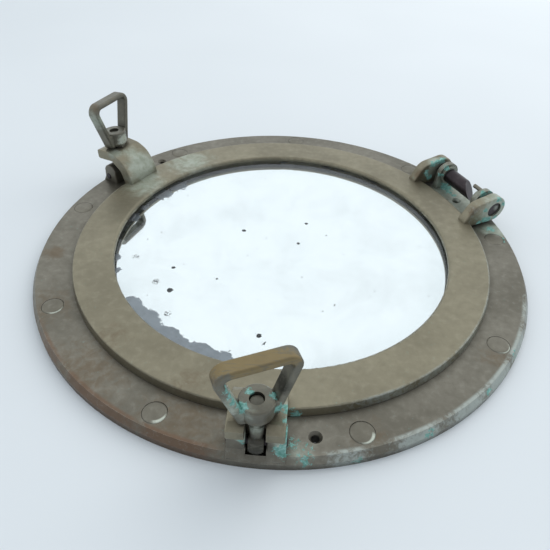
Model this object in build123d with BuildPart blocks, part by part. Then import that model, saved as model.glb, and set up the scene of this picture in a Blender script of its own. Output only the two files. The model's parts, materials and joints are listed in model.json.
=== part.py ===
from build123d import *
import os
from math import cos, radians, sin, sqrt

# A ship's porthole (portlight) lying on its back: a cast flange ring, a hinged sash ring that holds
# a mirror, and two hinged dogs, each a swing bolt with a loop nut that clamps a fork on the sash.
# Millimetres. Origin at the centre of the flange's flat back, +Z out of the face.
os.makedirs("parts", exist_ok=True)

# ---- driving dimensions ----
CLEAR_OPENING_R = 127.0  # a ten inch light
FLANGE_R = 185.2
FLANGE_T = 9.2
FLANGE_BEVEL_R = 182.7
FLANGE_BEVEL_Z = 5.0
FRAME_HOLE_R = 141.5
RUNNING_GAP = 0.05  # radial clearance of every pin and screw in its hole

PLUG_COUNT = 9
PLUG_CIRCLE_R = 172.5
PLUG_START = 6.0
PLUG_HEAD_R = 7.5
PLUG_HEAD_T = 1.6
PLUG_SHANK_R = 4.1

SMALL_HOLES = [(25.5, 169.6), (133.4, 168.2), (-82.9, 171.2)]  # azimuth, radius
SMALL_HOLE_R = 2.5
SMALL_SINK_R = 4.1

# sash ring: heights of its section
SASH_BOTTOM = 9.5
SASH_TOP = 15.4
SASH_OUTER_R = 157.3
SASH_TOP_R = 156.4
SPIGOT_R = 139.5
SPIGOT_BOTTOM = 2.4
REBATE_R = 131.2
LIP_BOTTOM = 12.0
GASKET_IN_R = 146.0
GASKET_OUT_R = 150.5
GASKET_TOP = 12.6

# the light itself, from the face down
BEDDING_IN_R = 128.0
GLASS_R = 130.9
GLASS_TOP = 11.3
GLASS_T = 3.0
SILVER_T = 0.12
SILVER_GAP = 0.03
BOARD_T = 5.5
RETAINER_IN_R = 119.0
RETAINER_R = 139.0
RETAINER_BOTTOM = 0.8
RETAINER_T = 1.55
SCREW_CIRCLE_R = 135.4
SCREW_COUNT = 12
SCREW_R = 1.5
SCREW_HEAD_R = 2.8
SCREW_TOP = 7.6

# hinge
HINGE_AZ = 26.0
HINGE_N = 175.4  # distance of the hinge axis from the centre
HINGE_Z = 21.6
PIN_R = 6.35
PIN_HALF = 37.9
PIN_CUT_AT = -7.5  # the long pin ends in a slanting cut, here on the axis
PIN_CUT_LEAN = 52.5  # the cut runs furthest back this far above the horizontal, in degrees
PIN_CUT_SLOPE = 1.18
SHORT_PIN_START = -18.2  # a second, short pin fills the other knuckle and arm
ARM_IN = 30.4  # sash arm, from and to along the hinge axis
ARM_OUT = 39.1
ARM_R = 11.1
NOSE_IN = 19.0  # frame knuckle: a small nose, then the full barrel
KNUCKLE_IN = 21.5
KNUCKLE_OUT = 26.0
KNUCKLE_R = 10.3
NOSE_R = 8.2
LOCK_R = 1.7  # small dowel beside the pin, in the knuckle nearer the front dog
LOCK_OUT = -1.26
LOCK_UP = 8.3
LOCK_FROM = -24.6
LOCK_TO = -12.3

# dogs
DOGS = {"front": -93.6, "rear": 146.2}  # azimuth of each dog
DOG_LEAN = {"front": 0.0, "rear": 4.1}  # how far each swing bolt leans outward at rest
LOOP_TURN = {"front": 25.0, "rear": 10.5}  # how far each loop nut is turned at rest
DOG_N = 176.5
PIVOT_Z = 14.4
PIVOT_R = 2.75
EAR_IN = 5.7
EAR_OUT = 16.2
EYE_R = 7.5
EYE_HALF = 4.2
EYE_ROOM = 0.5
BOLT_R = 4.0
BOLT_LENGTH = 35.2  # from the pivot
THREAD_PITCH = 1.6
THREAD_DEPTH = 0.45
FORK_HALF = 15.4
FORK_TOP = 38.1
FORK_OUT = 187.2
SLOT_HALF = 5.7
CROWN_R = 24.3  # the fork's outer top follows this arc about the pivot, so the nut sweeps clear

# loop nut, heights above its own seat; the two are hand finished and differ a little
NUT_SEAT = 24.5  # above the pivot
BOSS_R = 9.6
BOSS_H = 12.6
LOOP_H = {"front": 42.3, "rear": 41.0}
LOOP_FOOT_HALF = 10.8
LOOP_TOP_HALF = {"front": 25.2, "rear": 23.5}
LOOP_STRAP = {"front": 5.0, "rear": 4.3}
LOOP_DEPTH = 9.2
LOOP_CORNER = 7.5
NUT_BORE_R = BOLT_R + RUNNING_GAP


def side_plane(azimuth, along=0.0):
    """Upright plane through the centre axis: x runs outward at the azimuth, y runs up.

    along moves it sideways, anticlockwise seen from above, and extrusions run clockwise."""
    a = radians(azimuth)
    return Plane(
        origin=(-along * sin(a), along * cos(a), 0),
        x_dir=(cos(a), sin(a), 0),
        z_dir=(sin(a), -cos(a), 0),
    )


def on_side(azimuth, along, outward, height):
    """The point of a side plane at these two distances."""
    return side_plane(azimuth, along).from_local_coords((outward, height, 0))


def outline_edges(found, azimuth, ends, above):
    """Of these edges, those that lie in a side plane at one of the ends, above a height."""
    plane = side_plane(azimuth)
    return [
        e
        for e in found
        if min(e.vertices().sort_by(Axis.Z)[0].Z, e.center().Z) > above
        and any(
            all(abs(plane.to_local_coords(point).Z + end) < 0.01 for point in (e @ 0, e @ 0.5, e @ 1))
            for end in ends
        )
    ]


def polar(azimuth, radius, height):
    return (radius * cos(radians(azimuth)), radius * sin(radians(azimuth)), height)


def dog_plane(side, along=0.0):
    """Upright plane on a dog's pivot, leaning with its bolt: x runs outward, y up the bolt."""
    upright = side_plane(DOGS[side], along)
    lean = radians(DOG_LEAN[side])
    return Plane(
        origin=upright.from_local_coords((DOG_N, PIVOT_Z, 0)),
        x_dir=upright.x_dir * cos(lean) - upright.y_dir * sin(lean),
        z_dir=upright.z_dir,
    )


def loop_plane(side):
    """Plane of a loop nut, its origin on the nut's seat: x runs along the loop, y up the bolt."""
    dog = dog_plane(side)
    turn = radians(90 + LOOP_TURN[side])
    return Plane(
        origin=dog.from_local_coords((0, NUT_SEAT, 0)),
        x_dir=dog.x_dir * cos(turn) - dog.z_dir * sin(turn),
        z_dir=dog.x_dir * sin(turn) + dog.z_dir * cos(turn),
    )


def crown(outward):
    """Height of the fork's rounded outer top at this distance from the centre."""
    return PIVOT_Z + sqrt(CROWN_R**2 - (outward - DOG_N) ** 2)


def save(piece, name):
    piece.part.label = name
    export_step(piece.part, f"parts/{name}.step")


# ---- flange ring, with the dogs' ears and the hinge knuckles cast on it ----
with BuildPart() as frame_flange_ring:
    with BuildSketch(Plane.XZ):
        with BuildLine():
            Polyline(
                (FRAME_HOLE_R, 0),
                (FLANGE_R, 0),
                (FLANGE_R, FLANGE_BEVEL_Z),
                (FLANGE_BEVEL_R, FLANGE_T),
                (FRAME_HOLE_R, FLANGE_T),
                close=True,
            )
        make_face()
    revolve(axis=Axis.Z)

    for azimuth in DOGS.values():
        for ear_end in (EAR_OUT, -EAR_IN):
            with BuildSketch(side_plane(azimuth, ear_end)):
                with BuildLine():
                    Polyline((166.4, 3.0), (184.3, 3.0), (184.3, 6.5), (181.4, 12.0), (180.8, 18.5))
                    ThreePointArc((180.8, 18.5), (175.2, 25.4), (167.6, 19.8))
                    Line((167.6, 19.8), (166.4, 3.0))
                make_face()
            extrude(amount=EAR_OUT - EAR_IN)
            ear_sides = (ear_end, ear_end - EAR_OUT + EAR_IN)
            fillet(outline_edges(edges(), azimuth, ear_sides, FLANGE_T + 0.1), 1.0)
        # room for the bolt's eye and shank between the ears
        with BuildSketch(side_plane(azimuth, EAR_IN)):
            with Locations((DOG_N, PIVOT_Z)):
                Circle(EYE_R + EYE_ROOM)
            with Locations((DOG_N - EYE_R - EYE_ROOM, FLANGE_T)):
                Rectangle(20.0, 17.1, align=Align.MIN)
        extrude(amount=2 * EAR_IN, mode=Mode.SUBTRACT)
        with BuildSketch(side_plane(azimuth, EAR_OUT + 1)):
            with Locations((DOG_N, PIVOT_Z)):
                Circle(PIVOT_R + RUNNING_GAP)
        extrude(amount=2 * EAR_OUT + 2, mode=Mode.SUBTRACT)

    for knuckle_end in (KNUCKLE_OUT, -KNUCKLE_IN):
        with BuildSketch(side_plane(HINGE_AZ, knuckle_end)):
            with Locations((HINGE_N, HINGE_Z)):
                Circle(KNUCKLE_R)
            with BuildLine():
                Polyline(
                    (HINGE_N - KNUCKLE_R, HINGE_Z),
                    (HINGE_N - KNUCKLE_R - 1.2, 3.0),
                    (HINGE_N + KNUCKLE_R - 2.2, 3.0),
                    (HINGE_N + KNUCKLE_R, HINGE_Z),
                    close=True,
                )
            make_face()
        extrude(amount=KNUCKLE_OUT - KNUCKLE_IN)
    for nose_end in (KNUCKLE_IN + 0.5, -NOSE_IN):
        with BuildSketch(side_plane(HINGE_AZ, nose_end)):
            with Locations((HINGE_N, HINGE_Z)):
                Circle(NOSE_R)
        extrude(amount=KNUCKLE_IN + 0.5 - NOSE_IN)
    with BuildSketch(side_plane(HINGE_AZ, KNUCKLE_OUT + 1)):
        with Locations((HINGE_N, HINGE_Z)):
            Circle(PIN_R + RUNNING_GAP)
    extrude(amount=2 * KNUCKLE_OUT + 2, mode=Mode.SUBTRACT)
    with BuildSketch(side_plane(HINGE_AZ, 0)):
        with Locations((HINGE_N + LOCK_OUT, HINGE_Z + LOCK_UP)):
            Circle(LOCK_R + RUNNING_GAP)
    extrude(amount=-LOCK_FROM, mode=Mode.SUBTRACT)

    with Locations(Plane.XY.offset(FLANGE_T)):
        with PolarLocations(PLUG_CIRCLE_R, PLUG_COUNT, start_angle=PLUG_START):
            CounterBoreHole(PLUG_SHANK_R + RUNNING_GAP, PLUG_HEAD_R + RUNNING_GAP, PLUG_HEAD_T)
    for azimuth, radius in SMALL_HOLES:
        with Locations(Location(polar(azimuth, radius, FLANGE_T))):
            CounterSinkHole(SMALL_HOLE_R, SMALL_SINK_R, depth=FLANGE_T)
save(frame_flange_ring, "frame_flange_ring")

with BuildPart() as flange_bolts:
    with BuildSketch():
        with PolarLocations(PLUG_CIRCLE_R, PLUG_COUNT, start_angle=PLUG_START):
            Circle(PLUG_SHANK_R)
    extrude(amount=FLANGE_T - PLUG_HEAD_T)
    with BuildSketch(Plane.XY.offset(FLANGE_T - PLUG_HEAD_T)):
        with PolarLocations(PLUG_CIRCLE_R, PLUG_COUNT, start_angle=PLUG_START):
            Circle(PLUG_HEAD_R)
    extrude(amount=PLUG_HEAD_T)
    chamfer(edges().group_by(Axis.Z)[-1], 0.3)
save(flange_bolts, "flange_bolts")

# ---- sash ring: a lipped ring with two fork lugs and the two hinge arms ----
crown_start = DOG_N + sqrt(CROWN_R**2 - (FORK_TOP - PIVOT_Z) ** 2)
crown_middle = (crown_start + FORK_OUT) / 2
with BuildPart() as sash_ring:
    with BuildSketch(Plane.XZ):
        with BuildLine():
            Polyline((CLEAR_OPENING_R, SASH_TOP - 2.0), (CLEAR_OPENING_R, LIP_BOTTOM), (REBATE_R, LIP_BOTTOM))
            Polyline((REBATE_R, LIP_BOTTOM), (REBATE_R, SPIGOT_BOTTOM), (SPIGOT_R, SPIGOT_BOTTOM))
            Polyline((SPIGOT_R, SPIGOT_BOTTOM), (SPIGOT_R, SASH_BOTTOM), (SASH_OUTER_R, SASH_BOTTOM))
            Line((SASH_OUTER_R, SASH_BOTTOM), (SASH_TOP_R, SASH_TOP - 1.2))
            ThreePointArc(
                (SASH_TOP_R, SASH_TOP - 1.2),
                (SASH_TOP_R - 0.35, SASH_TOP - 0.35),
                (SASH_TOP_R - 1.2, SASH_TOP),
            )
            Line((SASH_TOP_R - 1.2, SASH_TOP), (CLEAR_OPENING_R + 2.0, SASH_TOP))
            ThreePointArc(
                (CLEAR_OPENING_R + 2.0, SASH_TOP),
                (CLEAR_OPENING_R + 0.6, SASH_TOP - 0.6),
                (CLEAR_OPENING_R, SASH_TOP - 2.0),
            )
        make_face()
    revolve(axis=Axis.Z)

    for azimuth in DOGS.values():
        with BuildSketch(side_plane(azimuth, FORK_HALF)):
            with BuildLine():
                FilletPolyline(
                    (148.2, 12.0), (148.4, 20.5), (157.0, 34.0), (168.0, FORK_TOP), (crown_start, FORK_TOP),
                    radius=16,
                )
                ThreePointArc(
                    (crown_start, FORK_TOP), (crown_middle, crown(crown_middle)), (FORK_OUT, crown(FORK_OUT))
                )
                FilletPolyline(
                    (FORK_OUT, crown(FORK_OUT)), (FORK_OUT, 28.4), (170.0, 30.6), (161.0, 24.0), (156.0, 12.0),
                    radius=2,
                )
                Line((156.0, 12.0), (148.2, 12.0))
            make_face()
        extrude(amount=2 * FORK_HALF)
        fillet(outline_edges(edges(), azimuth, (FORK_HALF, -FORK_HALF), SASH_TOP + 0.1), 0.9)
        # slot that the bolt swings out of
        with BuildSketch(Plane.XY.offset(FORK_TOP + 1)):
            with Locations(polar(azimuth, DOG_N, 0)):
                Circle(SLOT_HALF)
            with Locations(Location(polar(azimuth, DOG_N + 10, 0), azimuth)):
                Rectangle(20, 2 * SLOT_HALF)
        extrude(amount=-(FORK_TOP + 1 - 24.5), mode=Mode.SUBTRACT)

    for arm_end in (ARM_OUT, -ARM_IN):
        with BuildSketch(side_plane(HINGE_AZ, arm_end)):
            with Locations((HINGE_N, HINGE_Z)):
                Circle(ARM_R)
            with BuildLine():
                FilletPolyline(
                    (145.6, 12.0), (146.2, 16.0), (154.2, 29.6), (HINGE_N - 1.4, HINGE_Z + ARM_R - 0.1), radius=11
                )
                Polyline(
                    (HINGE_N - 1.4, HINGE_Z + ARM_R - 0.1), (HINGE_N, HINGE_Z), (HINGE_N, HINGE_Z - ARM_R),
                    (152.0, HINGE_Z - ARM_R), (145.6, 12.0),
                )
            make_face()
        extrude(amount=ARM_OUT - ARM_IN)
        arm_sides = (arm_end, arm_end - ARM_OUT + ARM_IN)
        fillet(outline_edges(edges(), HINGE_AZ, arm_sides, SASH_TOP + 0.1), 1.1)
    with BuildSketch(side_plane(HINGE_AZ, ARM_OUT + 1)):
        with Locations((HINGE_N, HINGE_Z)):
            Circle(PIN_R + RUNNING_GAP)
    extrude(amount=2 * ARM_OUT + 2, mode=Mode.SUBTRACT)

    # groove for the gasket, and blind holes for the retaining ring's screws
    with BuildSketch(Plane.XY.offset(SASH_BOTTOM)):
        Circle(GASKET_OUT_R)
        Circle(GASKET_IN_R, mode=Mode.SUBTRACT)
    extrude(amount=GASKET_TOP - SASH_BOTTOM, mode=Mode.SUBTRACT)
    with BuildSketch(Plane.XY.offset(SPIGOT_BOTTOM)):
        with PolarLocations(SCREW_CIRCLE_R, SCREW_COUNT):
            Circle(SCREW_R + RUNNING_GAP)
    extrude(amount=SCREW_TOP + 0.4 - SPIGOT_BOTTOM, mode=Mode.SUBTRACT)
save(sash_ring, "sash_ring")


def flat_ring(name, inner, outer, bottom, thickness):
    """A washer-shaped piece, or a disc where inner is 0."""
    with BuildPart() as ring:
        with BuildSketch(Plane.XY.offset(bottom)):
            Circle(outer)
            if inner:
                Circle(inner, mode=Mode.SUBTRACT)
        extrude(amount=thickness)
    save(ring, name)


glass_bottom = GLASS_TOP - GLASS_T
silver_bottom = glass_bottom - SILVER_GAP - SILVER_T
gasket_bottom = FLANGE_T + 0.1
flat_ring("sash_gasket", GASKET_IN_R + 0.1, GASKET_OUT_R - 0.1, gasket_bottom, GASKET_TOP - gasket_bottom)
flat_ring("glazing_bedding", BEDDING_IN_R, REBATE_R - 0.1, GLASS_TOP, LIP_BOTTOM - GLASS_TOP)
flat_ring("mirror_glass", 0, GLASS_R, glass_bottom, GLASS_T)
flat_ring("mirror_silvering", 0, GLASS_R, silver_bottom, SILVER_T)
flat_ring("backing_board", 0, GLASS_R, silver_bottom - BOARD_T, BOARD_T)

# ---- retaining ring under the board, and its countersunk screws ----
underside = Plane(origin=(0, 0, RETAINER_BOTTOM), x_dir=(1, 0, 0), z_dir=(0, 0, -1))
with BuildPart() as retaining_ring:
    with BuildSketch(Plane.XY.offset(RETAINER_BOTTOM)):
        Circle(RETAINER_R)
        Circle(RETAINER_IN_R, mode=Mode.SUBTRACT)
    extrude(amount=RETAINER_T)
    with Locations(underside):
        with PolarLocations(SCREW_CIRCLE_R, SCREW_COUNT):
            CounterSinkHole(
                SCREW_R + RUNNING_GAP, SCREW_HEAD_R + RUNNING_GAP, depth=RETAINER_T, counter_sink_angle=90
            )
save(retaining_ring, "retaining_ring")

with BuildPart() as retaining_ring_screws:
    with BuildSketch(Plane.XY.offset(RETAINER_BOTTOM)):
        with PolarLocations(SCREW_CIRCLE_R, SCREW_COUNT):
            Circle(SCREW_HEAD_R)
    extrude(amount=SCREW_HEAD_R - SCREW_R, taper=45)
    with BuildSketch(Plane.XY.offset(RETAINER_BOTTOM)):
        with PolarLocations(SCREW_CIRCLE_R, SCREW_COUNT):
            Circle(SCREW_R)
    extrude(amount=SCREW_TOP - RETAINER_BOTTOM)
save(retaining_ring_screws, "retaining_ring_screws")

# ---- hinge pins, the long one cut off at a slant, and the small dowel beside the short one ----
with BuildPart() as hinge_pin:
    with BuildSketch(side_plane(HINGE_AZ, PIN_HALF)):
        with Locations((HINGE_N, HINGE_Z)):
            Circle(PIN_R)
    extrude(amount=PIN_HALF - SHORT_PIN_START)
    chamfer(edges(), 0.7)
    cut_origin = side_plane(HINGE_AZ, PIN_CUT_AT)
    cut_lean = radians(PIN_CUT_LEAN)
    back = cut_origin.x_dir * cos(cut_lean) + cut_origin.y_dir * sin(cut_lean)
    split(
        bisect_by=Plane(
            origin=cut_origin.from_local_coords((HINGE_N, HINGE_Z, 0)),
            z_dir=cut_origin.z_dir * -1 - back * PIN_CUT_SLOPE,
        ),
        keep=Keep.TOP,
    )
save(hinge_pin, "hinge_pin")

with BuildPart() as hinge_pin_short:
    with BuildSketch(side_plane(HINGE_AZ, SHORT_PIN_START)):
        with Locations((HINGE_N, HINGE_Z)):
            Circle(PIN_R)
    extrude(amount=PIN_HALF + SHORT_PIN_START)
    chamfer(edges(), 0.7)
save(hinge_pin_short, "hinge_pin_short")

with BuildPart() as hinge_lock_dowel:
    with BuildSketch(side_plane(HINGE_AZ, LOCK_TO)):
        with Locations((HINGE_N + LOCK_OUT, HINGE_Z + LOCK_UP)):
            Circle(LOCK_R)
    extrude(amount=LOCK_TO - LOCK_FROM)
    chamfer(edges(), 0.3)
save(hinge_lock_dowel, "hinge_lock_dowel")


# ---- dogs ----
def make_swing_bolt(side):
    thread_start = 16.0
    turns = int((BOLT_LENGTH - 0.8 - thread_start) / THREAD_PITCH)
    thread = [
        (BOLT_R - THREAD_DEPTH * (i % 2), thread_start + THREAD_PITCH * i / 2) for i in range(2 * turns + 1)
    ]
    plane = dog_plane(side)
    with BuildPart() as bolt:
        with BuildSketch(plane):
            with BuildLine():
                Polyline(
                    (0, 4.0), (BOLT_R, 4.0), *thread, (BOLT_R, BOLT_LENGTH - 0.6), (BOLT_R - 0.6, BOLT_LENGTH),
                    (0, BOLT_LENGTH), close=True,
                )
            make_face()
        revolve(axis=Axis(plane.origin, plane.y_dir))
        # the eye is a ball, flattened on both sides
        with BuildSketch(plane):
            with BuildLine():
                CenterArc((0, 0), EYE_R, -90, 180)
                Line((0, EYE_R), (0, -EYE_R))
            make_face()
        revolve(axis=Axis(plane.origin, plane.y_dir))
        for cut_end in (EYE_HALF + 5, -EYE_HALF):
            with BuildSketch(dog_plane(side, cut_end)):
                Circle(EYE_R + 1)
            extrude(amount=5, mode=Mode.SUBTRACT)
        with BuildSketch(dog_plane(side, EYE_HALF + 1)):
            Circle(PIVOT_R + RUNNING_GAP)
        extrude(amount=2 * EYE_HALF + 2, mode=Mode.SUBTRACT)
    save(bolt, f"{side}_swing_bolt")


def make_pivot_pin(side):
    half = EAR_OUT + 0.6
    with BuildPart() as pin:
        with BuildSketch(dog_plane(side, half)):
            Circle(PIVOT_R)
        extrude(amount=2 * half)
        chamfer(edges(), 0.5)
    save(pin, f"{side}_pivot_pin")


def make_loop_nut(side):
    plane = loop_plane(side)
    top_half, height, strap_t = LOOP_TOP_HALF[side], LOOP_H[side], LOOP_STRAP[side]
    slope = (top_half - LOOP_FOOT_HALF) / height
    strap = strap_t * sqrt(1 + slope**2)  # the strap measured level
    window_low = BOSS_H - 0.8
    window_high = height - strap_t

    def inner_half(level):
        return LOOP_FOOT_HALF + slope * level - strap

    with BuildPart() as nut:
        with BuildSketch(plane.offset(-LOOP_DEPTH / 2)) as loop:
            with BuildLine():
                Polyline(
                    (-LOOP_FOOT_HALF, 0), (LOOP_FOOT_HALF, 0), (top_half, height), (-top_half, height),
                    close=True,
                )
            make_face()
            fillet(loop.vertices().group_by(Axis.Y)[-1], LOOP_CORNER)
            fillet(loop.vertices().group_by(Axis.Y)[0], 3)
            with BuildSketch(mode=Mode.PRIVATE) as window:
                with BuildLine():
                    Polyline(
                        (-inner_half(window_low), window_low), (inner_half(window_low), window_low),
                        (inner_half(window_high), window_high), (-inner_half(window_high), window_high),
                        close=True,
                    )
                make_face()
                fillet(window.vertices().group_by(Axis.Y)[-1], 3.2)
            add(window.sketch, mode=Mode.SUBTRACT)
        extrude(amount=LOOP_DEPTH)
        fillet(faces().filter_by(plane).edges(), 1.5)
        with BuildSketch(plane):
            with BuildLine():
                Line((0, 0), (BOSS_R - 3.2, 0))
                ThreePointArc((BOSS_R - 3.2, 0), (BOSS_R - 1.0, 1.2), (BOSS_R - 0.3, 4.0))
                Polyline((BOSS_R - 0.3, 4.0), (BOSS_R, BOSS_H - 0.7), (BOSS_R - 0.7, BOSS_H), (0, BOSS_H), (0, 0))
            make_face()
        revolve(axis=Axis(plane.origin, plane.y_dir))
        with BuildSketch(Plane(origin=plane.origin, x_dir=plane.x_dir, z_dir=plane.y_dir).offset(-1)):
            Circle(NUT_BORE_R)
        extrude(amount=BOSS_H + 2, mode=Mode.SUBTRACT)
    save(nut, f"{side}_loop_nut")


for dog_side in DOGS:
    make_swing_bolt(dog_side)
    make_pivot_pin(dog_side)
    make_loop_nut(dog_side)
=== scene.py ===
import json
import math

import bpy
from mathutils import Matrix, Vector


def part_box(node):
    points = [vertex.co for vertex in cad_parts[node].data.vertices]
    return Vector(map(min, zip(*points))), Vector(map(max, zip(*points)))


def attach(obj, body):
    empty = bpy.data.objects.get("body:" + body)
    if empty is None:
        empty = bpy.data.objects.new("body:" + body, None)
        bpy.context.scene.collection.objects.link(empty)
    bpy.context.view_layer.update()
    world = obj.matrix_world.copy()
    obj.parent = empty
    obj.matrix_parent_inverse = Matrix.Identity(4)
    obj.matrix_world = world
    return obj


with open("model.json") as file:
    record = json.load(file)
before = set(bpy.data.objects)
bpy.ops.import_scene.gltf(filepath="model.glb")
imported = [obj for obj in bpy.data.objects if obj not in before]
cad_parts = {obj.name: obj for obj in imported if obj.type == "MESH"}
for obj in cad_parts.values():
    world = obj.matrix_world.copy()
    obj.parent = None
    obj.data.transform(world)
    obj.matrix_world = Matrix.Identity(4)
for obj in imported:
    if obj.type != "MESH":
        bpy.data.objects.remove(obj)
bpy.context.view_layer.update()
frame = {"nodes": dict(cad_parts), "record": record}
RECORD = frame["record"]


# ---- places on the object, in millimetres and degrees ----
def polar(point):
    """Azimuth, radius and height of a point given in metres."""
    x, y, z = point
    return math.degrees(math.atan2(y, x)), 1000 * math.hypot(x, y), 1000 * z


PIVOT = {row["name"]: polar(row["pos_m"]) for row in RECORD["behaviour"]["joints"]}
HINGE_AZ, HINGE_RADIUS, HINGE_HEIGHT = PIVOT["sash_hinge"]
FRONT_AZ, DOG_RADIUS, _ = PIVOT["front_dog_swing"]
REAR_AZ = PIVOT["rear_dog_swing"][0]

FACE_HEIGHT = 1000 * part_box("flange_bolts")[1].z
PLUG_COUNT = 9
PLUG_CIRCLE = 172.5
PLUG_FIRST_AZ = 6.0
PLUG_R = 7.2
FLANGE_RIM_R = 180.5  # the rust and the painted reflection on the two rims lie outside these radii
SASH_RIM_R = 155.5
MIRROR_R = 128.0  # as far as the mirror is seen inside the sash
SILVER_HEIGHT = 8.2
SILVER_SHIFT = 3.2  # all marks on the silver are moved this far to the front


def at(azimuth, radius, height, along=0.0):
    """Point in metres from an azimuth, a radius and a height, moved along the rim by some mm."""
    a = math.radians(azimuth)
    x = radius * math.cos(a) - along * math.sin(a)
    y = radius * math.sin(a) + along * math.cos(a)
    return Vector((x, y, height)) / 1000


def hinge(along, out=0.0, up=0.0):
    """Point beside the hinge axis."""
    return at(HINGE_AZ, HINGE_RADIUS + out, HINGE_HEIGHT + up, along)


def plug(k):
    """Centre of a filled bolt head, on the flange's face."""
    return at(PLUG_FIRST_AZ + 360 / PLUG_COUNT * k, PLUG_CIRCLE, FACE_HEIGHT)


def on_silver(azimuth, radius):
    """Point on the silvering behind the glass."""
    return at(azimuth, radius, SILVER_HEIGHT) - Vector((0, SILVER_SHIFT, 0)) / 1000


# ---- materials ----
class Graph:
    """The node tree of one material. Each method gives back an output socket."""

    def __init__(self, name):
        self.material = bpy.data.materials.new(name)
        self.material.use_nodes = True
        self.tree = self.material.node_tree
        self.tree.nodes.clear()
        self.place = self.add("TexCoord").outputs["Object"]

    def feed(self, socket, value):
        """Link a socket to another one, or set its constant."""
        if isinstance(value, bpy.types.NodeSocket):
            self.tree.links.new(value, socket)
        elif socket.type == "RGBA":
            socket.default_value = (*value, 1)
        else:
            socket.default_value = value

    def add(self, kind, inputs=None, **settings):
        """A node with its settings, and with its inputs by name or number."""
        node = self.tree.nodes.new("ShaderNode" + kind)
        for key, value in settings.items():
            setattr(node, key, value)
        for key, value in (inputs or {}).items():
            self.feed(node.inputs[key], value)
        return node

    def calc(self, operation, *values):
        return self.add("Math", dict(enumerate(values)), operation=operation).outputs[0]

    def vector(self, operation, *vectors):
        node = self.add("VectorMath", dict(enumerate(vectors)), operation=operation)
        gives_number = operation in ("LENGTH", "DISTANCE", "DOT_PRODUCT")
        return node.outputs["Value" if gives_number else "Vector"]

    def radius(self):
        """Distance from the ring's own axis, in mm."""
        flat = self.vector("MULTIPLY", self.place, (1, 1, 0))
        return self.calc("MULTIPLY", self.vector("LENGTH", flat), 1000)

    def height(self):
        """Height above the flange's back, in mm."""
        return self.calc("MULTIPLY", self.add("SeparateXYZ", {0: self.place}).outputs["Z"], 1000)

    def noise(self, cell, detail, rough=0.6, warp=0.0, shift=0.0, stretch=(1, 1, 1)):
        """Noise with features about one cell (mm) across, from 0 to 1."""
        mapping = {"Vector": self.place, "Location": (shift, shift, shift), "Scale": stretch}
        inputs = {
            "Vector": self.add("Mapping", mapping).outputs[0],
            "Scale": 1000 / cell,
            "Detail": detail,
            "Roughness": rough,
            "Distortion": warp,
        }
        return self.add("TexNoise", inputs).outputs["Fac"]

    def ramp(self, value, low, high, to_low=0.0, to_high=1.0):
        """A smooth step, from to_low at low to to_high at high."""
        inputs = dict(enumerate((value, low, high, to_low, to_high)))
        return self.add("MapRange", inputs, interpolation_type="SMOOTHSTEP").outputs[0]

    def blend(self, amount, under, over):
        """Colour between two others: under at 0, over at 1."""
        return self.add("Mix", {0: amount, 6: under, 7: over}, data_type="RGBA").outputs[2]

    def near(self, centre, size):
        """1 at a point and 0 one size (mm) away from it."""
        return self.ramp(self.vector("DISTANCE", self.place, centre), size / 1000, 0.0)

    def patches(self, spots, grain, ragged, soft):
        """Patches around some (centre, size in mm, strength) spots, with a ragged, soft outline."""
        outline = 0.42
        total = None
        for centre, size, strength in spots:
            one = self.calc("MULTIPLY", self.near(centre, size), strength)
            total = one if total is None else self.calc("MAXIMUM", total, one)
        uneven = self.noise(grain, 6, rough=0.65, warp=0.6, shift=3.1)
        uneven = self.ramp(uneven, 0.3, 0.7, -ragged / 2, ragged / 2)
        return self.ramp(self.calc("ADD", total, uneven), outline - soft, outline + soft)

    def film(self, strength, spots, grain, ragged, soft):
        """How much a film on some patches hides of what is under it."""
        return self.calc("MULTIPLY", self.patches(spots, grain, ragged, soft), strength)

    def edge(self, radius):
        """1 along convex and concave edges."""
        soft = self.add("Bevel", {"Radius": radius / 1000}, samples=2).outputs[0]
        hard = self.add("NewGeometry").outputs["Normal"]
        bend = self.calc("SUBTRACT", 1.0, self.vector("DOT_PRODUCT", soft, hard))
        return self.ramp(bend, 0.02, 0.22)

    def occlusion_mask(self, reach):
        """1 in corners and gaps, where ambient occlusion finds shade: painted shade."""
        shade = self.add("AmbientOcclusion", {"Distance": reach / 1000}, samples=3).outputs["AO"]
        return self.ramp(shade, 0.95, 0.45)

    def bump(self, height, distance):
        return self.add("Bump", {"Height": height, "Distance": distance / 1000}).outputs[0]

    def surface(self, shader):
        """Finish the tree with a shader node, and give back the material."""
        out = self.add("OutputMaterial")
        self.tree.links.new(shader.outputs[0], out.inputs["Surface"])
        return self.material


BROWN = (0.150, 0.112, 0.072)
RUST = (0.165, 0.105, 0.070)
# colour of the painted reflection on the outer rims
SHEEN = (0.50, 0.56, 0.53)
# colour of the painted highlights
PAINTED_HIGHLIGHT = (0.62, 0.66, 0.57)
DULL_GREEN = (0.29, 0.325, 0.255)
PALE_GREEN = (0.40, 0.44, 0.375)
VERDIGRIS = (0.10, 0.30, 0.25)
PALE_VERDIGRIS = (0.30, 0.56, 0.52)
BRASS_METALLIC = 0.80


def darker(colour, share):
    return tuple(share * c for c in colour)


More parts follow.
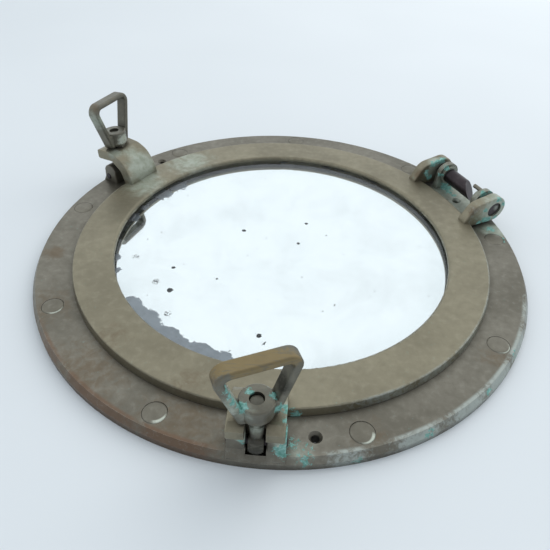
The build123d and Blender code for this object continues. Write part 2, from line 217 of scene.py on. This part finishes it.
def old_brass(
    name, body, dark, worn, rough=(0.36, 0.52), pitting=0.06, wear=0.55, corner_shade=0.6, scratches=None,
    brown_spots=(), film_and_sheen_spots=(), shade_spots=(), bare_spots=(), highlight_spots=(), highlight_below=None,
    green_spots=(), rim_from=None, rim_rust=(), rim_sheen=(),
):
    """Cast brass browned by age: worn edges, painted shade in the corners, patches of verdigris.

    Each list of spots holds (centre, size in mm, strength). The rim lists show outside the radius
    rim_from only, and the painted highlights only below the height set for them.
    """
    g = Graph(name)
    cloud = g.noise(46, 4, rough=0.55, warp=0.3)
    mottle = g.noise(5.5, 7, rough=0.62, warp=0.15, shift=1.3)
    grain = g.noise(0.8, 3, shift=2.2)
    tone = g.blend(g.ramp(cloud, 0.30, 0.72), dark, body)
    tone = g.blend(g.ramp(mottle, 0.50, 0.78, 0.0, 0.26), tone, worn)
    tone = g.blend(g.ramp(mottle, 0.50, 0.24, 0.0, 0.45), tone, dark)
    roughness = g.ramp(mottle, 0.3, 0.75, rough[1], rough[0])
    metallic = BRASS_METALLIC

    # films that lie on the metal, with painted reflection on the rims, painted sheen and painted shade
    # in spots
    if brown_spots:
        tone = g.blend(g.film(0.75, brown_spots, 6, 0.35, 0.3), tone, BROWN)
    if rim_from:
        on_rim = g.ramp(g.radius(), rim_from - 1, rim_from + 1)
    if rim_rust:
        rust = g.calc("MULTIPLY", on_rim, g.film(0.8, rim_rust, 5, 0.35, 0.3))
        tone = g.blend(rust, tone, RUST)
    # painted reflection: a pale band where the outer rims mirror the bright sky
    if rim_sheen:
        pale = g.calc("MULTIPLY", on_rim, g.film(0.6, rim_sheen, 3, 0.5, 0.35))
        tone = g.blend(pale, tone, SHEEN)
    # a dull green film; on the sash, two wide spots at the back left use it as painted sheen
    if film_and_sheen_spots:
        film_and_sheen = g.film(0.85, film_and_sheen_spots, 7, 0.28, 0.30)
        tone = g.blend(film_and_sheen, tone, g.blend(g.ramp(mottle, 0.3, 0.7), DULL_GREEN, PALE_GREEN))
        metallic = g.calc("MULTIPLY_ADD", film_and_sheen, -0.6 * BRASS_METALLIC, BRASS_METALLIC)
    # painted shade: near-black spots where the dogs' slots, loops and pockets lie in shade
    if shade_spots:
        tone = g.blend(g.film(0.85, shade_spots, 7, 0.2, 0.3), tone, darker(dark, 0.25))

    # metal worn bare at the edges and where hands rub it, then painted highlights and scratches
    bare = g.calc("MULTIPLY", g.edge(0.7), g.ramp(g.noise(4, 5, rough=0.7, shift=4.0), 0.36, 0.62))
    bare = g.calc("MULTIPLY", bare, wear)
    if bare_spots:
        bare = g.calc("MAXIMUM", bare, g.film(0.9, bare_spots, 3.2, 0.35, 0.2))
    tone = g.blend(bare, tone, worn)
    # painted highlights: pale glints on the front ear, the plugs' rims and the rear nut
    if highlight_spots:
        highlight = g.film(0.8, highlight_spots, 3, 0.3, 0.3)
        if highlight_below:
            low = g.ramp(g.height(), highlight_below + 0.06, highlight_below - 0.02)
            highlight = g.calc("MULTIPLY", highlight, low)
        tone = g.blend(highlight, tone, PAINTED_HIGHLIGHT)
    if scratches:
        lines = g.ramp(g.noise(1.5, 4, shift=6.0, stretch=scratches), 0.50, 0.66)
        tone = g.blend(g.calc("MULTIPLY", lines, 0.5), tone, dark)

    # painted shade in the corners and gaps, from ambient occlusion, then the green crust over all of it
    tone = g.blend(g.calc("MULTIPLY", g.occlusion_mask(6), corner_shade), tone, darker(dark, 0.42))
    height = g.calc("ADD", g.calc("MULTIPLY", mottle, 0.9), g.calc("MULTIPLY", grain, 0.30))
    if green_spots:
        crust = g.film(0.92, green_spots, 2.2, 0.75, 0.10)
        pale = g.ramp(g.noise(1.9, 5, warp=0.5, shift=5.0), 0.35, 0.7)
        tone = g.blend(crust, tone, g.blend(pale, VERDIGRIS, PALE_VERDIGRIS))
        roughness = g.ramp(crust, 0, 1, roughness, 0.85)
        metallic = g.calc("MULTIPLY", metallic, g.ramp(crust, 0, 1, 1.0, 0.05))
        height = g.calc("ADD", height, g.calc("MULTIPLY", crust, 0.6))
    look = {"Base Color": tone, "Metallic": metallic, "Roughness": roughness}
    return g.surface(g.add("BsdfPrincipled", {**look, "Normal": g.bump(height, pitting)}))


def flange_brass():
    """Dark brass of the flange, its ears and its knuckles."""
    hinge_green = [
        (hinge(19, -1, -12), 9, 1.0), (hinge(12, -3, -12), 6, 0.8), (hinge(6, -2, -12), 5, 0.6),
        (hinge(-26, -3, 7), 6, 0.9), (hinge(-26, 4, 9), 5, 0.7), (hinge(21, -4, 7), 5, 0.7),
        (hinge(21, -10, 1), 5, 0.7), (hinge(-47, -7, -12), 7, 0.7),
    ]
    ear_green = [
        (at(-88.5, 177, 25), 6, 0.9), (at(-88.7, 179, 20), 6, 0.9), (at(-89, 182, 14), 8, 1.3),
        (at(-85.2, 184, 7), 8, 0.46), (at(-84.3, 178, 9), 7, 0.40), (at(-87, 174, 9), 7, 0.42),
        (at(-96, 181, 19), 4, 0.7),
    ]
    face_green = [
        (at(-62, 185, 6), 7, 0.5), (at(6, 177, 9), 9, 0.45), (at(-46, 185, 7), 6, 0.5),
        (at(-34, 185, 7), 7, 0.45), (at(-76, 187, 4), 6, 0.5),
    ]
    return old_brass(
        "flange_brass", (0.214, 0.199, 0.162), (0.148, 0.136, 0.108), (0.34, 0.325, 0.275),
        green_spots=hinge_green + ear_green + face_green,
        film_and_sheen_spots=[
            (hinge(14, -3, -12), 24, 1.5), (hinge(-8, -4, -12), 22, 1.4), (hinge(-24), 16, 1.3),
            (hinge(22), 15, 1.2), (hinge(-50, -6, -12), 16, 1.0), (at(-89, 180, 20), 9, 1.2),
            (at(-96, 181, 22), 7, 1.3), (at(10, 178, 9), 22, 0.5), (at(-86, 180, 9), 15, 0.5),
        ],
        brown_spots=[
            (at(-108, 176, 9), 55, 0.5), (at(-132, 176, 9), 55, 0.5), (at(-154, 176, 9), 40, 0.42),
            (at(-38, 176, 9), 22, 0.5), (at(-73, 174, 9), 22, 0.45), (at(-174, 173, 9), 14, 0.8),
        ],
        # painted highlights on the front ear
        highlight_spots=[(at(-89.2, 182, 15), 7, 0.9), (at(-96, 181, 20), 4, 0.7)],
        # painted shade in the front dog's pocket
        shade_spots=[(at(FRONT_AZ, 183, 16), 26, 0.34)],
        rim_from=FLANGE_RIM_R,
        rim_rust=[
            (at(-108, 187, 4), 38, 1.1), (at(-125, 185, 6), 55, 0.9), (at(-143, 185, 6), 45, 0.6),
        ],
        # painted reflection along the flange's outer bevel at the front right
        rim_sheen=[
            (at(-78, 186, 5), 22, 0.6), (at(-64, 184, 6), 30, 0.75), (at(-52, 184, 6), 32, 0.8),
            (at(-42, 184, 6), 32, 0.85), (at(-31, 184, 6), 32, 0.8), (at(-20, 184, 6), 26, 0.6),
        ],
    )


def plug_brass():
    """The filled bolt heads, with painted highlight crescents beside the four at the front."""
    beside = Vector((4, -5, 0)) / 1000
    return old_brass(
        "plug_brass", (0.216, 0.201, 0.163), (0.152, 0.140, 0.110), (0.34, 0.325, 0.275),
        # only faint painted shade in the plugs' corners
        wear=0.2, corner_shade=0.15,
        # painted highlight crescents on the rims of the four front plugs
        highlight_spots=[(plug(k) + beside, 9, 0.8) for k in (5, 6, 7, 8)],
        highlight_below=9.4,
    )


def sash_brass():
    """Olive brass of the sash ring, its forks and its hinge arms."""
    arm_green = [
        (hinge(-39, -13, -10), 5, 1.0), (hinge(-39, -9, -8), 5, 0.9), (hinge(-39, -4, -9), 5, 1.0),
        (hinge(-39, -10, 2), 5, 0.7), (hinge(-39, 2, 10), 5, 0.8), (hinge(-39, 8, 4), 5, 0.7),
        (hinge(-39, 4, -9), 5, 0.8),
        (hinge(30.4, -2, 10), 6, 0.9), (hinge(30.4, -7, 9.5), 5, 0.9), (hinge(30.4, -12, 8), 5, 0.9),
        (hinge(30.4, -18, 1), 4, 0.9), (hinge(30.4, -13, -5), 5, 0.9), (hinge(30.4, -16, -2), 4, 0.8),
    ]
    fork_green = [
        (at(-88.5, 172, 37), 5, 0.9), (at(-88.8, 179, 38), 4, 0.7), (at(-88.5, 172, 30), 5, 0.9),
        (at(-86.3, 157, 10), 6, 0.7), (at(-87.6, 158, 16), 5, 0.7),
    ]
    return old_brass(
        "sash_brass", (0.262, 0.237, 0.168), (0.205, 0.184, 0.130), (0.37, 0.345, 0.26),
        # lighter painted shade in the sash's corners
        rough=(0.32, 0.48), pitting=0.05, corner_shade=0.4,
        green_spots=arm_green + fork_green,
        film_and_sheen_spots=[
            (hinge(-39), 22, 1.3), (hinge(30.4, -8, 4), 15, 1.2), (at(REAR_AZ, 150, 24, -2), 26, 1.0),
            (at(REAR_AZ, 163, 30), 16, 0.8), (at(REAR_AZ, 169, 38, 11), 12, 0.7),
            # the wide spots at 128 and 150 degrees paint a pale sheen where the sash reflects more light
            (at(128, 142, 16), 40, 0.6), (at(150, 140, 16), 34, 0.6), (at(-88.5, 172, 34), 9, 0.9),
        ],
        brown_spots=[
            (hinge(30.4, -25, 1), 9, 0.9), (hinge(37, -5, 10), 9, 0.9), (at(FRONT_AZ, 176, 34), 18, 0.5),
            (hinge(-39, -23, 4), 8, 0.9), (at(-110, 150, 12), 22, 0.4), (at(-135, 150, 12), 22, 0.4),
        ],
        # painted shade on the sash beside the front dog
        shade_spots=[(at(FRONT_AZ, 181, 30), 26, 0.42)],
        rim_from=SASH_RIM_R,
        # painted reflection along the sash's outer edge at the front right
        rim_sheen=[(at(azimuth, 156, 14), 40, 0.55) for azimuth in range(-66, 5, 14)],
    )


def dog_brass():
    """Swing bolts and loop nuts, rubbed bright along the front handle."""
    handle_radius = DOG_RADIUS + 2
    return old_brass(
        "dog_brass", (0.205, 0.195, 0.155), (0.140, 0.134, 0.110), (0.235, 0.178, 0.088),
        pitting=0.05, scratches=(0.12, 1, 1),
        green_spots=[
            (at(-97.8, 186, 69.5), 4.5, 1.0), (at(-97.2, 186, 65), 4, 0.9),
            (at(-96.7, 185.5, 60), 4, 0.9), (at(-96.2, 183, 55), 4.5, 1.0),
            (at(-95.7, 182, 51), 5, 1.1), (at(-90.1, 177, 45), 5, 1.0),
            (at(-94.9, 172.8, 51.5), 4, 0.8), (at(-91, 174, 51), 4, 0.7),
        ],
        bare_spots=[(at(FRONT_AZ, handle_radius, 82, along), 17, 1.1) for along in (-18, -7, 4, 15)],
        film_and_sheen_spots=[
            (at(152, 178, 68), 16, 0.7), (at(FRONT_AZ, DOG_RADIUS, 32), 11, 1.2),
            (at(-97, 185, 58), 14, 1.0), (at(-95, 184, 48), 10, 0.6),
            (at(REAR_AZ, DOG_RADIUS + 4, 60), 18, 0.6),
        ],
        # painted shade: the bolt eyes down in their slots, and the front loop's inner side
        shade_spots=[
            (at(FRONT_AZ, DOG_RADIUS, 14), 15, 1.2), (at(REAR_AZ, DOG_RADIUS, 14), 12, 1.0),
            (at(-89.8, 172.5, 60), 11, 0.9), (at(FRONT_AZ, DOG_RADIUS + 4, 46), 13, 0.5),
        ],
        brown_spots=[(at(152, 180, 77.5), 10, 1.2), (at(-99.6, 186, 77.5), 8, 1.1)],
        # painted highlight on the rear nut
        highlight_spots=[(at(146, 169.5, 45), 9, 1.0)],
    )


def pin_bronze():
    """Dark bronze of the hinge pins and the pivot pins."""
    return old_brass(
        "pin_bronze", (0.062, 0.050, 0.052), (0.034, 0.027, 0.030), (0.14, 0.12, 0.12),
        rough=(0.28, 0.42), wear=0.6, pitting=0.04,
        film_and_sheen_spots=[(hinge(-41, 2, 1), 6, 1.0)],
    )


def inner_brass():
    """Yellower brass of the retaining ring and its screws."""
    return old_brass(
        "inner_brass", (0.42, 0.34, 0.19), (0.25, 0.20, 0.12), (0.55, 0.46, 0.28), pitting=0.03
    )


def plain(name, light, dark, cell, stretch=(1, 1, 1)):
    """Matt material with a little variation of colour and a fine grain."""
    g = Graph(name)
    cloud = g.noise(cell, 5, warp=0.4, shift=0.7, stretch=stretch)
    grain = g.noise(cell / 12, 4, shift=1.9, stretch=stretch)
    look = {
        "Base Color": g.blend(g.ramp(cloud, 0.3, 0.7), dark, light),
        "Roughness": g.ramp(grain, 0.3, 0.7, 0.6, 0.85),
        "Normal": g.bump(grain, 0.1),
    }
    return g.surface(g.add("BsdfPrincipled", look))


def mirror_glass():
    """Clear plate with a few dust specks and a thin haze. Only its outside mirrors."""
    g = Graph("mirror_glass")
    gloss = g.add("BsdfGlossy", {"Color": (0.95, 0.97, 1.0), "Roughness": 0.02}).outputs[0]
    clear = g.add("BsdfTransparent", {"Color": (0.965, 0.978, 0.978)}).outputs[0]
    outside = g.calc("SUBTRACT", 1.0, g.add("NewGeometry").outputs["Backfacing"])
    sheen = g.calc("MULTIPLY", g.add("Fresnel", {"IOR": 1.5}).outputs[0], outside)
    pane = g.add("MixShader", {0: sheen, 1: clear, 2: gloss}).outputs[0]
    dirt = g.add("BsdfDiffuse", {"Color": (0.50, 0.54, 0.55)}).outputs[0]
    dust = g.ramp(g.noise(1.6, 3, rough=0.7, shift=8.0), 0.70, 0.80)
    haze = g.ramp(g.noise(45, 4, warp=0.5, shift=3.0), 0.4, 0.8)
    amount = g.calc("ADD", g.calc("MULTIPLY", dust, 0.25), g.calc("MULTIPLY", haze, 0.05))
    return g.surface(g.add("MixShader", {0: amount, 1: pane, 2: dirt}))


def lost_silver(g):
    """1 where the silver has come away: a frayed band at the front left, and dents at the left."""
    deepest = 17.0
    waves = g.ramp(g.noise(22, 4, warp=0.3, shift=2.0), 0.3, 0.7, -2.0, 2.0)
    humps = g.add("TexVoronoi", {"Vector": g.place, "Scale": 1000 / 15}).outputs["Distance"]
    frayed = g.calc("ADD", waves, g.calc("MULTIPLY", humps, -9.0))
    tatters = g.ramp(g.noise(2.6, 5, rough=0.65, warp=0.3, shift=2.0), 0.3, 0.7, 0.5, 3.0)
    frayed = g.calc("ADD", frayed, tatters)
    reach = g.ramp(g.near(on_silver(-127, 122), 72), 0.02, 0.42, 0.0, deepest)
    inner_edge = g.calc("SUBTRACT", g.calc("SUBTRACT", MIRROR_R + 1, reach), frayed)
    band = g.ramp(g.calc("SUBTRACT", g.radius(), inner_edge), -0.3, 0.5)
    dents = [
        (on_silver(164, 128), 10, 1.0), (on_silver(157, 127), 7, 0.9), (on_silver(-172, 127), 8, 0.9),
        (on_silver(-165, 126), 7, 0.9), (on_silver(146, 127), 14, 1.0), (on_silver(138, 127), 14, 1.0),
    ]
    return g.calc("MAXIMUM", band, g.patches(dents, 4.0, 0.5, 0.05))


def silver_specks(g):
    """1 in small dark spots: the larger ones each in its place, the finest ones strewn."""
    spots = [
        (on_silver(-146.8, 94), 3.6, 1.2), (on_silver(-98.4, 93), 3.0, 1.2),
        (on_silver(144.5, 38), 2.6, 1.2), (on_silver(60, 40), 2.2, 1.2),
        (on_silver(30, 15), 2.2, 1.2), (on_silver(-161.5, 84.5), 2.4, 1.1),
        (on_silver(-154.6, 100), 6.0, 0.48), (on_silver(-135.7, 107.5), 6.0, 0.46),
        (on_silver(-172, 111.5), 6.0, 0.46), (on_silver(-141, 60), 1.6, 1.0),
        (on_silver(-96, 99), 4.0, 0.45),
    ]
    fine = g.ramp(g.noise(3.2, 2, rough=0.5, shift=11.0), 0.735, 0.76)
    here_and_there = g.ramp(g.noise(50, 2, rough=0.5, shift=7.0), 0.45, 0.55)
    strewn = g.calc("MULTIPLY", g.calc("MULTIPLY", fine, here_and_there), 0.9)
    return g.calc("MAXIMUM", g.patches(spots, 1.4, 0.5, 0.1), strewn)


def silvering():
    """Old silver: hazy, greyer near the rim, worn away in places, with small dark specks."""
    g = Graph("silvering")
    lost = lost_silver(g)
    haze = g.ramp(g.noise(60, 4, warp=0.8, shift=5.0), 0.35, 0.75)
    rim = g.ramp(g.radius(), MIRROR_R - 22, MIRROR_R)
    tone = g.blend(g.calc("MULTIPLY", haze, 0.25), (0.955, 0.962, 0.968), (0.86, 0.885, 0.90))
    tone = g.blend(g.calc("MULTIPLY", rim, 0.16), tone, (0.55, 0.60, 0.62))
    mottle = g.ramp(g.noise(6, 6, rough=0.7, warp=0.6, shift=9.0), 0.35, 0.65)
    backing = g.blend(mottle, (0.165, 0.180, 0.200), (0.215, 0.235, 0.26))
    tone = g.blend(g.calc("MULTIPLY", lost, 0.95), tone, backing)
    look = {
        "Base Color": g.blend(silver_specks(g), tone, (0.02, 0.02, 0.02)),
        "Metallic": g.ramp(lost, 0, 1, 1.0, 0.7),
        "Roughness": g.ramp(lost, 0, 1, 0.03, 0.32),
    }
    return g.surface(g.add("BsdfPrincipled", look))


MATERIALS = {
    "flange_brass": flange_brass(),
    "plug_brass": plug_brass(),
    "sash_brass": sash_brass(),
    "dog_brass": dog_brass(),
    "pin_bronze": pin_bronze(),
    "inner_brass": inner_brass(),
    "putty": plain("putty", (0.20, 0.20, 0.17), (0.08, 0.085, 0.07), 9),
    "gasket_rubber": plain("gasket_rubber", (0.035, 0.035, 0.034), (0.018, 0.018, 0.018), 14),
    "board": plain("board", (0.30, 0.19, 0.10), (0.20, 0.12, 0.06), 6, stretch=(1, 5, 1)),
    "mirror_glass": mirror_glass(),
    "silvering": silvering(),
}
for row in RECORD["subparts"]:
    slots = frame["nodes"][row["node"]].data.materials
    slots.clear()
    slots.append(MATERIALS[row["material_slot"]])


# ---- pieces made here ----
def add_mesh(name, points, faces, material):
    mesh = bpy.data.meshes.new(name)
    mesh.from_pydata(points, [], faces)
    mesh.update()
    mesh.materials.append(material)
    thing = bpy.data.objects.new(name, mesh)
    bpy.context.scene.collection.objects.link(thing)
    return thing


def plug_crowns():
    """The filled bolt heads stand a little proud: low crowns, each tilted a little its own way."""
    around = 48
    slope = 0.022
    level_edge = 1.2  # the tilt fades out over this width, so that the edge stays on the face
    profile = [(2.0, 0.58), (4.0, 0.46), (5.6, 0.33), (6.6, 0.22), (7.05, 0.10), (PLUG_R, -0.02)]
    points, faces = [], []
    for k in range(PLUG_COUNT):
        centre = plug(k)
        lean = math.radians(77 * k)
        first = len(points)
        points.append(centre + Vector((0, 0, 0.62)) / 1000)
        for radius, height in profile:
            for i in range(around):
                a = 2 * math.pi * i / around
                x, y = radius * math.cos(a), radius * math.sin(a)
                tilt = slope * (x * math.cos(lean) + y * math.sin(lean))
                tilt *= min(1, (PLUG_R - radius) / level_edge)
                points.append(centre + Vector((x, y, height + tilt)) / 1000)
        for i in range(around):
            j = (i + 1) % around
            faces.append((first, first + 1 + i, first + 1 + j))
            for ring in range(len(profile) - 1):
                inner = first + 1 + ring * around
                outer = inner + around
                faces.append((inner + i, outer + i, outer + j, inner + j))
    crowns = add_mesh("plug_crowns", points, faces, MATERIALS["plug_brass"])
    for face in crowns.data.polygons:
        face.use_smooth = True
    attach(crowns, "frame")


# ---- camera and studio ----
def make_camera():
    """The photograph's view, in metres."""
    place = (-0.0044, -0.3401, 0.2769)
    right = Vector((0.99936, 0.02361, 0.02687))
    up = Vector((-0.03577, 0.6596, 0.7508))
    data = bpy.data.cameras.new("camera")
    data.lens = 36.07
    data.sensor_width = 36.0
    camera = bpy.data.objects.new("camera", data)
    bpy.context.scene.collection.objects.link(camera)
    turn = Matrix((right, up, right.cross(up))).transposed().to_4x4()
    camera.matrix_world = Matrix.Translation(place) @ turn
    bpy.context.scene.camera = camera


def make_world():
    """Bright pale sky ahead, a duller room behind the camera."""
    behind = (0.56, 0.595, 0.64, 1)
    ahead = (1.06, 1.12, 1.16, 1)
    world = bpy.data.worlds.new("world")
    bpy.context.scene.world = world
    world.use_nodes = True
    tree = world.node_tree
    way = tree.nodes.new("ShaderNodeTexCoord")
    split = tree.nodes.new("ShaderNodeSeparateXYZ")
    tree.links.new(way.outputs["Generated"], split.inputs[0])
    share = tree.nodes.new("ShaderNodeMapRange")
    share.inputs["From Min"].default_value = -1.0
    tree.links.new(split.outputs["Y"], share.inputs["Value"])
    sky = tree.nodes.new("ShaderNodeValToRGB")
    for element, position, colour in zip(sky.color_ramp.elements, (0.30, 0.62), (behind, ahead)):
        element.position = position
        element.color = colour
    tree.links.new(share.outputs[0], sky.inputs[0])
    tree.links.new(sky.outputs[0], tree.nodes["Background"].inputs["Color"])


def make_key_light():
    """One large soft light from behind and to the right, aimed at the part, in metres."""
    place = Vector((0.9, 0.9, 1.1))
    data = bpy.data.lights.new("key", "AREA")
    data.shape = "DISK"
    data.size = 1.6
    data.energy = 10.0
    data.color = (1.0, 0.98, 0.95)
    light = bpy.data.objects.new("key", data)
    light.location = place
    light.rotation_euler = (-place).to_track_quat("-Z", "Y").to_euler()
    light.visible_glossy = False
    bpy.context.scene.collection.objects.link(light)


def make_floor():
    """A wide round floor, so that its edge stays far off in every view."""
    radius, around = 30.0, 96
    turns = [2 * math.pi * i / around for i in range(around)]
    rim = [(radius * math.cos(a), radius * math.sin(a), 0) for a in turns]
    g = Graph("floor")
    cloud = g.ramp(g.noise(400, 2), 0.3, 0.7)
    tone = g.blend(cloud, (0.70, 0.74, 0.765), (0.725, 0.765, 0.79))
    look = {"Base Color": tone, "Roughness": 0.9, "Specular IOR Level": 0.2}
    material = g.surface(g.add("BsdfPrincipled", look))
    floor = add_mesh("floor", rim, [tuple(range(around))], material)


plug_crowns()
make_camera()
make_world()
make_key_light()
make_floor()
bpy.context.scene.view_settings.view_transform = "Standard"
